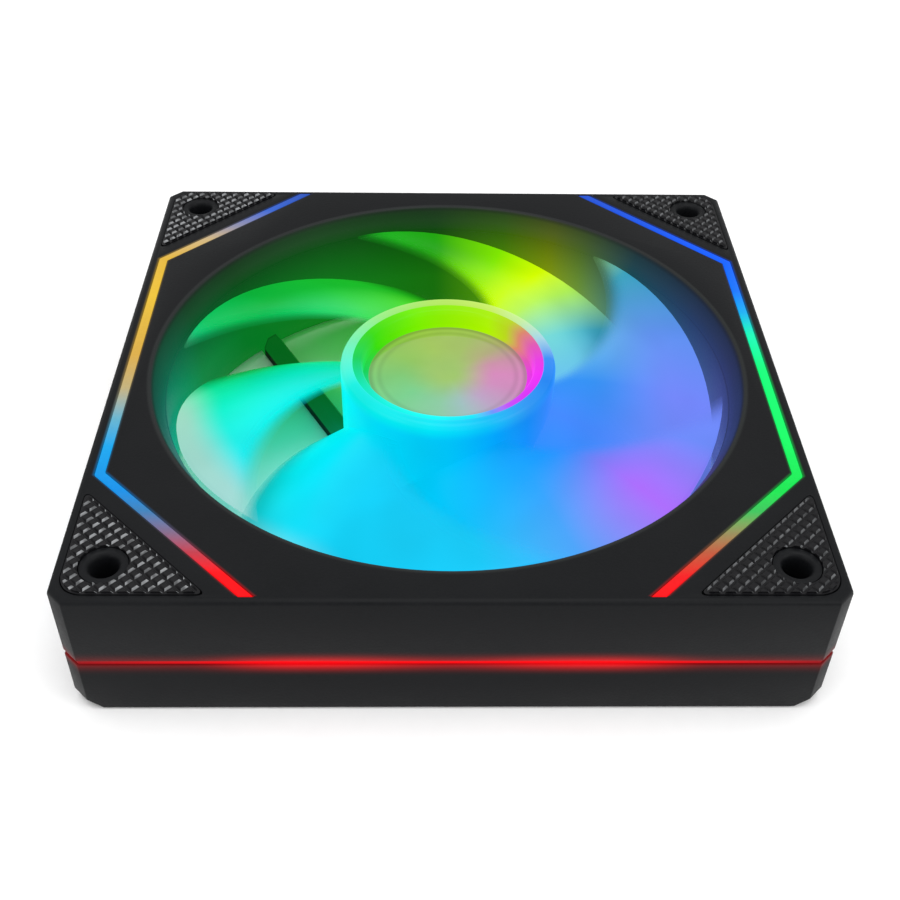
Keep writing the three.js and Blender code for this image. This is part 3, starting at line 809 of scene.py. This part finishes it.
def hub_material():
    """The hub's lit wall and its paler rim."""
    material, tree, shader, place = start_material("hub_plastic")
    wall = use_group(tree, BLADE_INNER, place).outputs["Colour"]
    rim = use_group(tree, HUB_RIM, place).outputs["Colour"]
    up = map_range(tree, split(tree, place)["Z"], 0.0215, 0.0248, smooth=True)
    field = mix_colour(tree, up, wall, rim)
    glow_from(tree, shader, dimmed(tree, clouded(tree, place, 60, 0.9), field), 0.97, 0.1)
    glossy_base(tree, shader, place, field, 0.02, (0.28, 0.4))
    return material


def hub_ring_material():
    """The frosted ring inside the hub's rim."""
    material, tree, shader, place = start_material("hub_ring_glow")
    field = use_group(tree, HUB_RING, place).outputs["Colour"]
    glow_from(tree, shader, dimmed(tree, clouded(tree, place, 80, 0.9), field), 0.97, 0.08)
    glossy_base(tree, shader, place, field, 0.02, (0.25, 0.38))
    return material


def painted_reflection_rings(tree, radius):
    """Painted reflections: faint darker rings near the mirror's rim, where the hub ring shows again and
    again.
    """
    spacing = 0.0009
    wave = math_node(tree, "PINGPONG", radius, spacing)
    stripe = map_range(tree, wave, 0.0, spacing, 0.3, 0.0, smooth=True)
    edge = map_range(tree, radius, 0.0108, 0.0145, smooth=True)
    return math_node(tree, "SUBTRACT", 1.0, product(tree, stripe, edge))


def mirror_material(name):
    """A mirror film with the hub's light painted into it as its reflections."""
    material, tree, shader, place = start_material(name)
    rim = use_group(tree, MIRROR_RIM, place).outputs["Colour"]
    radius, _ = radius_of(tree, place)
    outward = map_range(tree, radius, 0.001, 0.009, smooth=True)
    field = mix_colour(tree, outward, srgb(158, 202, 96), rim)
    cloud = map_range(tree, noise(tree, place, 120, 3.0), 0.3, 0.7, 0.92, 1.0)
    # Painted reflection of the hub's light, with its repeated rings.
    glow = dimmed(tree, product(tree, painted_reflection_rings(tree, radius), cloud), field)
    glow_from(tree, shader, glow, 0.92, 0.5)
    shader.inputs["Metallic"].default_value = 1.0
    tree.links.new(mottled(tree, use_grain(tree, place), 0.06, 0.12), shader.inputs["Roughness"])
    base = mix_colour(tree, cloud, (0.05, 0.055, 0.05, 1), (0.07, 0.075, 0.07, 1))
    tree.links.new(base, shader.inputs["Base Color"])
    return material


def floor_material():
    material, tree, shader, place = start_material("pale_floor")
    tones = (0.93, 0.93, 0.93, 1), (0.95, 0.95, 0.95, 1)
    add_grain(tree, shader, place, tones, (0.7, 0.8), 0.01, 300.0)
    shader.inputs["Specular IOR Level"].default_value = 0.1
    return material


SHELL = shell_material()
RUBBER = rubber_material()
STRIP_GLOW = edge_glow_material("strip_glow", 1.15)
SIDE_GLOW = side_glow_material()
BLADE = blade_material()
HUB = hub_material()
RING_GLOW = hub_ring_material()
MIRROR = mirror_material("half_mirror_film")

# Dark tone, light tone, gloss, grain depth in millimetres, grain scale, metal share
PLAIN_FINISHES = {
    "circuit_board": ((0.012, 0.06, 0.03), (0.02, 0.09, 0.05), (0.3, 0.5), 0.02, 1200.0, 0.0),
    "label_film": ((0.2, 0.205, 0.21), (0.25, 0.255, 0.26), (0.35, 0.5), 0.01, 900.0, 0.0),
    "bearing_brass": ((0.5, 0.34, 0.12), (0.62, 0.43, 0.17), (0.2, 0.38), 0.01, 1500.0, 1.0),
    "nylon": ((0.72, 0.7, 0.62), (0.8, 0.78, 0.7), (0.4, 0.55), 0.02, 1500.0, 0.0),
    "lamination_steel": ((0.3, 0.31, 0.33), (0.38, 0.39, 0.41), (0.35, 0.5), 0.02, 1200.0, 1.0),
    "shaft_steel": ((0.55, 0.56, 0.58), (0.62, 0.63, 0.65), (0.15, 0.28), 0.005, 2500.0, 1.0),
    "ferrite": ((0.045, 0.042, 0.04), (0.065, 0.06, 0.057), (0.6, 0.75), 0.03, 1200.0, 0.0),
    "enamelled_copper": ((0.42, 0.15, 0.06), (0.55, 0.22, 0.1), (0.25, 0.4), 0.02, 2500.0, 0.8),
    "grommet_rubber": ((0.01, 0.01, 0.011), (0.02, 0.02, 0.022), (0.5, 0.7), 0.02, 2000.0, 0.0),
}
CAD_FINISHES = {name: grained(name, *values) for name, values in PLAIN_FINISHES.items()}
CAD_FINISHES["mirror_film"] = MIRROR


# ---- Frame halves ----


def corner_posts(radius, low, high):
    return [
        drum(radius, low, high, x * HOLE_OFFSET, y * HOLE_OFFSET)
        for x, y in CORNERS.values()
    ]


def screw_cutters(face, inward):
    """Screw holes with a shallow dish at the given face."""
    cutters = []
    for x, y in CORNERS.values():
        profile = [
            (0, face - inward * 30), (HOLE_RADIUS, face - inward * 30),
            (HOLE_RADIUS, face - inward * 1.0), (HOLE_RADIUS + 0.15, face - inward * 0.45),
            (HOLE_RADIUS + 0.4, face - inward * 0.15), (HOLE_RADIUS + 0.75, face + inward * 0.02),
            (HOLE_RADIUS + 0.75, face + inward), (0, face + inward),
        ]
        cutters.append(moved(spun(profile, 48, closed=False), x * HOLE_OFFSET, y * HOLE_OFFSET))
    return cutters


def pad_pockets(low, high):
    """Pockets for the corner pads, each with its collar left standing."""
    pockets = []
    for x, y in CORNERS.values():
        pocket = prism(pad_outline(0.12, x, y), low, high, 1.5)
        collar = drum(COLLAR_RADIUS, low - 1, high + 1, x * HOLE_OFFSET, y * HOLE_OFFSET)
        pockets.append(combine(pocket, collar, "DIFFERENCE"))
    return pockets


def cut_all(base, cutters):
    for cutter in cutters:
        base = combine(base, cutter, "DIFFERENCE")
    return base


def join_all(base, parts):
    for part in parts:
        base = combine(base, part, "UNION")
    return base


def funnel_ring():
    """The collar under the plate, from which the funnel is cut."""
    low, high = DUCT_TOP + 0.1, FRONT_Z - 1.0
    under = FRONT_Z - PLATE
    inner, outer = THROAT_RADIUS - 0.7, OPENING_RADIUS + 2.2
    return spun([
        (inner, low), (DUCT_RADIUS + DUCT_WALL, low), (outer - 1, under - 0.2),
        (outer, under), (outer, high), (inner, high),
    ], DUCT_STEPS)


def funnel_cutter():
    """The air inside the funnel, with the round of its lip at the face."""
    low, high = SEAM_HIGH - 5, FRONT_Z + 5
    return spun([
        (0, low), (THROAT_RADIUS, low), (THROAT_RADIUS, FRONT_Z - 4.0),
        (OPENING_RADIUS - 0.9, FRONT_Z - 2.6), (OPENING_RADIUS - 0.35, FRONT_Z - 1.3),
        (OPENING_RADIUS, FRONT_Z - 0.5), (OPENING_RADIUS + 0.18, FRONT_Z - 0.22),
        (OPENING_RADIUS + 0.42, FRONT_Z - 0.06), (OPENING_RADIUS + 0.75, FRONT_Z + 0.02),
        (OPENING_RADIUS + 0.75, high), (0, high),
    ], DUCT_STEPS, closed=False)


def strip_slot(side):
    outline = strip_outline(side, STRIP_WIDTH / 2 + 0.1, 0.1)
    return prism(outline, FRONT_Z - 1.2, FRONT_Z + 1)


def front_cover():
    """The upper half shell: a plate with a funnel, and walls down to the seam."""
    shell = prism(frame_outline(0), SEAM_HIGH, FRONT_Z)
    rim = [e for e in shell.edges if all(v.co.z > FRONT_Z - 0.01 for v in e.verts)]
    rounded(shell, rim, FACE_ROUND, 3)
    inside = prism(frame_outline(WALL), SEAM_HIGH - 5, FRONT_Z - PLATE)
    shell = combine(shell, inside, "DIFFERENCE")
    shell = join_all(shell, [funnel_ring()] + corner_posts(BOSS_RADIUS, 16.3, FRONT_Z - 1.5))
    slots = [strip_slot(side) for side in (-1, 1)]
    pockets = pad_pockets(FRONT_Z - PAD_DEPTH - 0.1, FRONT_Z + 1)
    shell = cut_all(shell, [funnel_cutter()] + slots + pockets + screw_cutters(FRONT_Z, 1))
    soften(shell, 0.14, limit=40, clear=OPENING_RADIUS + 2)
    return finish_piece("front_cover_moulding", shell, [SHELL], "housing", ["front_cover"])


def strut_turn(index):
    return math.radians(STRUT_DIRECTION - 90 + 360 / STRUT_COUNT * index)


def strut(index):
    """A straight bar past the motor base, thinner along its upper edge."""
    wide = index == CABLE_STRUT
    half = (CABLE_STRUT_WIDTH if wide else STRUT_WIDTH) / 2
    offset = CABLE_STRUT_OFFSET if wide else STRUT_OFFSET
    shoulder = STRUT_HEIGHT / 2
    crest = half - shoulder * 0.6
    section = [
        (-half, 0), (half, 0), (half, shoulder),
        (crest, STRUT_HEIGHT), (-crest, STRUT_HEIGHT), (-half, shoulder),
    ]
    bm = bmesh.new()
    bm.faces.new([bm.verts.new((x - offset, STRUT_START, REAR_Z + z)) for x, z in section])
    extruded(bm, (0, OUTLET_RADIUS + 5 - STRUT_START, 0))
    return turned(bm, strut_turn(index))


def wire_groove():
    """The channel in the back of the wide strut, which the wires lie in."""
    half = WIRE_GROOVE_WIDTH / 2
    near, far = BASE_RADIUS - 1, OUTLET_RADIUS - 1
    left, right = -CABLE_STRUT_OFFSET - half, -CABLE_STRUT_OFFSET + half
    outline = [(left, near), (right, near), (right, far), (left, far)]
    channel = prism(outline, REAR_Z - 1, REAR_Z + WIRE_GROOVE_DEPTH)
    return turned(channel, strut_turn(CABLE_STRUT))


def all_struts():
    """The struts, trimmed to the duct and clear of the board and the label."""
    bars = join_all(strut(0), [strut(i) for i in range(1, STRUT_COUNT)])
    reach = drum(OUTLET_RADIUS + 0.1, REAR_Z - 1, STRUT_HEIGHT + 5, steps=DUCT_STEPS)
    bars = combine(bars, reach, "INTERSECT")
    well = drum(BASE_RADIUS - BASE_WALL, BASE_FLOOR, BASE_RIM_TOP + 1, steps=HUB_STEPS)
    recess = drum(LABEL_RECESS_RADIUS, REAR_Z - 1, REAR_Z + LABEL_RECESS, steps=HUB_STEPS)
    return cut_all(bars, [wire_groove(), well, recess])


def cut_corners(shell):
    """Slants the four lower corners of the rear frame."""
    slope = math.radians(50)
    reach = HALF_SIDE * math.sqrt(2) - CORNER_CHAMFER / math.sqrt(2)
    for x, y in CORNERS.values():
        out = Vector((x, y, 0)).normalized()
        cut = bmesh.ops.bisect_plane(
            shell,
            geom=shell.verts[:] + shell.edges[:] + shell.faces[:],
            plane_co=out * (reach - 1.6) + Vector((0, 0, REAR_Z)),
            plane_no=out * math.sin(slope) - Vector((0, 0, math.cos(slope))),
            clear_outer=True,
        )
        rim = [e for e in cut["geom_cut"] if isinstance(e, bmesh.types.BMEdge)]
        bmesh.ops.contextual_create(shell, geom=rim)
    bmesh.ops.recalc_face_normals(shell, faces=shell.faces[:])
    return shell


def duct():
    outer = DUCT_RADIUS + DUCT_WALL
    return spun([
        (OUTLET_RADIUS + 0.1, REAR_Z), (OUTLET_RADIUS - 0.2, REAR_Z + 0.6),
        (DUCT_RADIUS + 0.4, REAR_Z + 2.4), (DUCT_RADIUS, REAR_Z + 4.6), (DUCT_RADIUS, DUCT_TOP),
        (outer, DUCT_TOP), (outer, REAR_Z + PLATE + 1), (outer + 1.2, REAR_Z + PLATE),
        (outer + 1.2, REAR_Z),
    ], DUCT_STEPS)


def motor_base():
    """The cup the motor sits in, with the label's recess in its back."""
    inner = BASE_RADIUS - BASE_WALL
    return spun([
        (0, REAR_Z + LABEL_RECESS), (LABEL_RECESS_RADIUS, REAR_Z + LABEL_RECESS),
        (LABEL_RECESS_RADIUS, REAR_Z), (BASE_RADIUS - 0.3, REAR_Z),
        (BASE_RADIUS, REAR_Z + 0.3), (BASE_RADIUS, BASE_RIM_TOP), (inner, BASE_RIM_TOP),
        (inner, BASE_FLOOR), (0, BASE_FLOOR),
    ], HUB_STEPS, closed=False)


def grommet_window():
    """The opening in the left wall for the cable grommet."""
    room = 0.1
    low, high = heights("cable_gland")
    near, far = (corner.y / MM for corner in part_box("cable_gland"))
    outer, inner = -HALF_SIDE - 4, -HALF_SIDE + 4
    outline = [(outer, near - room), (inner, near - room), (inner, far + room), (outer, far + room)]
    return prism(outline, low - room, high + room)


def rear_frame():
    """The lower half shell with the duct, the struts and the motor base."""
    shell = cut_corners(prism(frame_outline(0), REAR_Z, SEAM_LOW))
    inside = prism(frame_outline(WALL), REAR_Z + PLATE, SEAM_LOW + 5)
    bore = drum(DUCT_RADIUS + DUCT_WALL, -5, SEAM_LOW + 5, steps=DUCT_STEPS)
    shell = cut_all(shell, [inside, bore])
    shell = join_all(shell, [duct()] + corner_posts(BOSS_RADIUS, REAR_Z + 1, 16))
    pockets = pad_pockets(-1, REAR_Z + PAD_DEPTH + 0.1)
    shell = cut_all(shell, pockets + screw_cutters(REAR_Z, -1) + [grommet_window()])
    shell = join_all(shell, [all_struts(), motor_base()])
    soften(shell, 0.16, limit=40, clear=OUTLET_RADIUS + 3)
    return finish_piece("rear_frame_moulding", shell, [SHELL], "housing", ["rear_frame"])


# ---- Lights in the frame ----


def light_strip(side, name):
    """One of the two inlaid light guides, just below the level of the face."""
    strip = prism(strip_outline(side, STRIP_WIDTH / 2, 0), FRONT_Z - 1.1, FRONT_Z - 0.02)
    soften(strip, 0.12, limit=40)
    node, slot = f"{name}_light_strip", f"{name}_strip_glow"
    return finish_piece(f"{name}_light_guide", strip, [STRIP_GLOW], "housing", [node])


def side_band():
    """The light guide in the seam, all the way round the frame."""
    band = prism(frame_outline(0.35), SEAM_LOW + 0.03, SEAM_HIGH - 0.03)
    hollow = prism(frame_outline(3.0), SEAM_LOW - 1, SEAM_HIGH + 1)
    band = combine(band, hollow, "DIFFERENCE")
    soften(band, 0.1, limit=40)
    node, slot = "side_light_band", "side_glow"
    return finish_piece("side_light_guide", band, [SIDE_GLOW], "housing", [node])


# ---- Corner pads ----


def knurled_block(low, crest):
    """A block whose top is a field of small tiles, its rows at 45 degrees."""
    half = KNURL_TILES * KNURL_PITCH / 2
    bm = bmesh.new()
    bmesh.ops.create_grid(bm, x_segments=KNURL_TILES, y_segments=KNURL_TILES, size=half)
    moved(bm, z=crest - KNURL_RISE)
    tiles = bm.faces[:]
    for width, rise in ((KNURL_GROOVE, 0), (KNURL_FLANK, KNURL_RISE)):
        bmesh.ops.inset_individual(bm, faces=tiles, thickness=width, depth=rise, use_even_offset=True)
    turned(bm, math.radians(45))
    boundary = [e for e in bm.edges if e.is_boundary]
    grown = bmesh.ops.extrude_edge_only(bm, edges=boundary)
    skirt = [v for v in grown["geom"] if isinstance(v, bmesh.types.BMVert)]
    for vert in skirt:
        vert.co.z = low
    floor_edges = [e for e in bm.edges if e.is_boundary]
    bmesh.ops.contextual_create(bm, geom=floor_edges)
    bmesh.ops.recalc_face_normals(bm, faces=bm.faces[:])
    return bm


def pad_shape():
    """The pad of the back right corner, smooth at its rim and knurled inside it."""
    low, high = heights("front_pad_back_right")
    edge = prism(pad_outline(0, 1, 1), low, high - 0.35, 1.6, 8)
    field = prism(pad_outline(-0.25, 1, 1), low + 0.2, high + 1, 1.4, 8)
    knurl = moved(knurled_block(low - 0.5, high), KNURL_MIDDLE, KNURL_MIDDLE)
    knurl = combine(knurl, field, "INTERSECT")
    pad = combine(edge, knurl, "UNION")
    hole = drum(COLLAR_RADIUS + 0.12, low - 2, high + 2, HOLE_OFFSET, HOLE_OFFSET)
    return combine(pad, hole, "DIFFERENCE")


def corner_pad(face, corner, shape):
    """The pad turned over to its own corner and face."""
    x, y = CORNERS[corner]
    node = f"{face}_pad_{corner}"
    pad = shape.copy()
    turned_over = face == "rear"
    bmesh.ops.scale(pad, vec=(x, y, -1 if turned_over else 1), verts=pad.verts[:])
    if turned_over:
        moved(pad, z=PAD_TOP)
    bmesh.ops.recalc_face_normals(pad, faces=pad.faces[:])
    return finish_piece(f"{node}_rubber", pad, [RUBBER], "housing", [node], smooth=20)


# ---- Impeller ----


def blade_place(outward, back, side):
    """A point of the first blade, from its share of span and chord and its face."""
    radius = BLADE_ROOT + (BLADE_TIP - BLADE_ROOT) * outward
    lag = FORWARD_SWEEP * (1 - outward) ** SWEEP_POWER
    chord = ROOT_CHORD + (TIP_CHORD - ROOT_CHORD) * outward
    bulge = 4 * back * (1 - back)
    half = (BLADE_EDGE + (BLADE_THICKNESS - BLADE_EDGE) * bulge) / 2
    rise = BLADE_ROOT_TOP + (BLADE_TOP - BLADE_ROOT_TOP) * outward - BLADE_LOW
    slope = math.atan2(rise, radius * math.radians(chord))
    angle = math.radians(TIP_LEAD_ANGLE - lag - chord * back)
    angle -= side * half * math.sin(slope) / radius
    fall = back ** BLADE_FALL_POWER
    z = BLADE_LOW + rise * (1 - fall) + BLADE_CAMBER * bulge + side * half * math.cos(slope)
    return Vector((radius * math.cos(angle), radius * math.sin(angle), z))


def one_blade():
    """A thin cambered block with a rounded rim, charted by span and chord."""
    bm = bmesh.new()
    bm.loops.layers.uv.new("blade")
    bmesh.ops.create_grid(bm, x_segments=26, y_segments=22, size=0.5, calc_uvs=True)
    extruded(bm, (0, 0, 1))
    for vert in bm.verts:
        side = 2 * vert.co.z - 1
        vert.co = blade_place(vert.co.x + 0.5, vert.co.y + 0.5, side)
    bmesh.ops.recalc_face_normals(bm, faces=bm.faces[:])
    return bm


def blades():
    """All the blades, set evenly round the hub."""
    whole = []
    for index in range(BLADE_COUNT):
        bm = turned(one_blade(), 2 * math.pi / BLADE_COUNT * index)
        rim = [e for e in bm.edges if e.calc_face_angle(0) > math.radians(50)]
        rounded(bm, rim, 0.3, 3)
        whole.append(bm)
    return whole


def hub_shell():
    """The hub cup, with the floor that carries the mirrors."""
    floor_low, floor_high = 17.3, 18.7
    inner = HUB_RADIUS - 1.4
    bm = spun([
        (0, floor_low), (inner, floor_low), (inner, HUB_LOW), (HUB_RADIUS - 0.2, HUB_LOW),
        (HUB_RADIUS, HUB_LOW + 0.2), (HUB_RADIUS, HUB_TOP - 1.5), (HUB_RADIUS - 0.12, HUB_TOP - 0.9),
        (HUB_RADIUS - 0.42, HUB_TOP - 0.35), (HUB_RADIUS - 0.85, HUB_TOP - 0.06),
        (HUB_RADIUS - 1.3, HUB_TOP), (RIM_INNER + 0.35, HUB_TOP), (RIM_INNER + 0.1, HUB_TOP - 0.1),
        (RIM_INNER, HUB_TOP - 0.35), (RIM_INNER, floor_high), (0, floor_high),
    ], HUB_STEPS, closed=False)
    for face in bm.faces:
        face.material_index = 1
    return bm


def impeller():
    whole = gather([hub_shell()] + blades())
    materials = [BLADE, HUB]
    return finish_piece(
        "impeller_moulding", whole, materials, "rotor", ["impeller"], smooth=40
    )


def hub_ring():
    """The diffuser inside the hub's rim, down to the mirror."""
    low, high = heights("hub_light_ring")
    outer = RIM_INNER - 0.05
    foot = MIRROR_TOP + 0.05
    ring = spun([
        (RING_INNER - 1, low), (outer, low), (outer, high - 0.05), (outer - 0.3, high),
        (RING_INNER + 0.75, high - 0.08), (RING_INNER + 0.35, high - 0.25),
        (RING_INNER + 0.12, high - 0.6), (RING_INNER, high - 1.2), (RING_INNER, foot),
        (RING_INNER - 1, foot),
    ], HUB_STEPS)
    node = "hub_light_ring"
    return finish_piece("hub_ring_diffuser", ring, [RING_GLOW], "rotor", [node])


def half_mirror():
    """The disc at the bottom of the hub's recess."""
    disc = spun([
        (0, MIRROR_LOW), (RING_INNER - 0.1, MIRROR_LOW), (RING_INNER - 0.1, MIRROR_TOP - 0.1),
        (RING_INNER - 0.2, MIRROR_TOP), (0, MIRROR_TOP),
    ], HUB_STEPS, closed=False)
    node = "half_mirror"
    return finish_piece("half_mirror_disc", disc, [MIRROR], "rotor", [node])


# ---- Stage ----


def finish_cad_nodes():
    """Gives every CAD node that stays the procedural finish of its material slot."""
    for entry in frame["record"]["subparts"]:
        finish = CAD_FINISHES.get(entry["material_slot"])
        if finish is None:
            continue
        mesh = frame["nodes"][entry["node"]].data
        mesh.materials.clear()
        mesh.materials.append(finish)


def build_floor():
    bm = bmesh.new()
    bmesh.ops.create_grid(bm, x_segments=4, y_segments=4, size=6)
    mesh = bpy.data.meshes.new("floor")
    bm.to_mesh(mesh)
    bm.free()
    mesh.materials.append(floor_material())
    floor = bpy.data.objects.new("floor", mesh)
    bpy.context.scene.collection.objects.link(floor)


def soft_light(name, place, aim, size, power):
    light = bpy.data.lights.new(name, "AREA")
    light.shape = "DISK"
    light.size = size
    light.energy = power
    lamp = bpy.data.objects.new(name, light)
    lamp.location = place
    lamp.rotation_euler = (Vector(aim) - Vector(place)).to_track_quat("-Z", "Y").to_euler()
    bpy.context.scene.collection.objects.link(lamp)


def build_lights():
    world = bpy.data.worlds.new("studio")
    world.use_nodes = True
    backdrop = world.node_tree.nodes["Background"]
    backdrop.inputs["Color"].default_value = (1, 1, 1, 1)
    backdrop.inputs["Strength"].default_value = 0.75
    bpy.context.scene.world = world
    soft_light("overhead", (0.0, -0.1, 0.9), (0, 0, 0), 0.9, 5.0)
    soft_light("left_fill", (-0.8, -0.5, 0.5), (0, 0, 0), 0.6, 1.5)
    soft_light("right_fill", (0.8, -0.4, 0.5), (0, 0, 0), 0.6, 2.4)


def build_camera():
    elevation = math.radians(41.34)
    azimuth = math.radians(-1.54)
    roll = math.radians(1.16)
    distance = 0.243
    aim = Vector((0.00075, 0.00231, REAR_Z * MM))
    turn = (
        Matrix.Rotation(azimuth, 4, "Z")
        @ Matrix.Rotation(math.pi / 2 - elevation, 4, "X")
        @ Matrix.Rotation(roll, 4, "Z")
    )
    data = bpy.data.cameras.new("camera")
    data.lens = 49.02
    data.sensor_width = 36.0
    data.clip_start = 0.01
    data.clip_end = 50.0
    camera = bpy.data.objects.new("camera", data)
    camera.matrix_world = Matrix.Translation(aim) @ turn @ Matrix.Translation((0, 0, distance))
    bpy.context.scene.collection.objects.link(camera)
    bpy.context.scene.camera = camera


build_camera()
build_floor()
build_lights()
bpy.context.scene.view_settings.view_transform = "Standard"

front_cover()
rear_frame()
light_strip(-1, "left")
light_strip(1, "right")
side_band()
pad = pad_shape()
for corner in CORNERS:
    corner_pad("front", corner, pad)
    corner_pad("rear", corner, pad)
pad.free()
impeller()
hub_ring()
half_mirror()
finish_cad_nodes()
